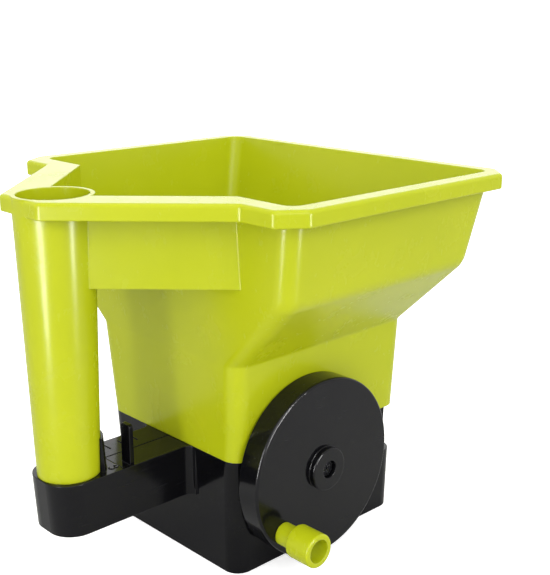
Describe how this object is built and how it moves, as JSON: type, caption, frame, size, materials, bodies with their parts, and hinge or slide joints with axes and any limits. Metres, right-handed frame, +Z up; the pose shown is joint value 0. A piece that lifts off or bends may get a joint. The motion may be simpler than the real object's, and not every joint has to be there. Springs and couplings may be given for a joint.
{
  "type": "hand crank broadcast spreader",
  "caption": "Hand-held broadcast spreader: open lime hopper with a rimmed mouth and upright tube handle on a black base, side crank wheel with a knob, geared spinner and metering slide.",
  "frame": {"origin": "spinner axis where it meets the surface that the base stands on", "axes": "+X is the direction of throw, away from the handle; +Y is to the user's left; +Z is up; the crank wheel is on the -Y side"},
  "size_m": [0.2154, 0.206, 0.1917],
  "materials": {
    "lime_plastic": "semi-gloss moulded polypropylene",
    "black_plastic": "glossy moulded polypropylene",
    "steel": "zinc-plated",
    "black_steel": "black oxide",
    "nylon": "natural acetal",
    "brass": "sintered bronze"
  },
  "bodies": {
    "housing": {"hopper_handle": "lime_plastic", "base_housing": "black_plastic", "bottom_cover": "black_plastic", "gear_deck": "black_plastic", "wheel_screw": "black_steel", "wheel_washer": "black_steel", "wall_bush": "brass", "shaft_bracket": "black_plastic", "floor_bush": "brass", "deck_bush": "brass", "hopper_bush": "brass", "cover_screws": "steel", "deck_screws": "steel", "bracket_screws": "steel", "hopper_screws": "steel", "tube_screw": "steel"},
    "crank": {"crank_wheel": "black_plastic", "knob_pin": "steel", "knob_clip": "steel"},
    "knob": {"crank_knob": "lime_plastic"},
    "drive": {"drive_shaft": "steel", "drive_pinion": "nylon", "bevel_pinion": "nylon", "drive_clip": "steel"},
    "spinner": {"spinner_shaft": "steel", "bevel_gear": "nylon", "spinner_disc": "black_plastic", "agitator": "nylon", "agitator_clip": "steel"},
    "gate": {"metering_slide": "black_plastic"}
  },
  "joints": [
    {"name": "crank_turn", "type": "hinge", "parent": "housing", "child": "crank", "pos_m": [-0.0024, -0.06, 0.0509], "axis": [0, 1, 0], "continuous": true},
    {"name": "knob_spin", "type": "hinge", "parent": "crank", "child": "knob", "pos_m": [-0.03071, -0.08, 0.02585], "axis": [0, 1, 0], "continuous": true},
    {"name": "drive_turn", "type": "hinge", "parent": "housing", "child": "drive", "pos_m": [0, -0.04, 0.0216], "axis": [0, 1, 0], "continuous": true},
    {"name": "spinner_turn", "type": "hinge", "parent": "housing", "child": "spinner", "pos_m": [0, 0, 0.04], "axis": [0, 0, 1], "continuous": true},
    {"name": "gate_slide", "type": "slide", "parent": "housing", "child": "gate", "axis": [1, 0, 0], "range_m": [0, 0.0165]}
  ],
  "couplings": [
    {"joint": "drive_turn", "follows": "crank_turn", "ratio": 4.2667},
    {"joint": "spinner_turn", "follows": "crank_turn", "ratio": 4.2667}
  ]
}
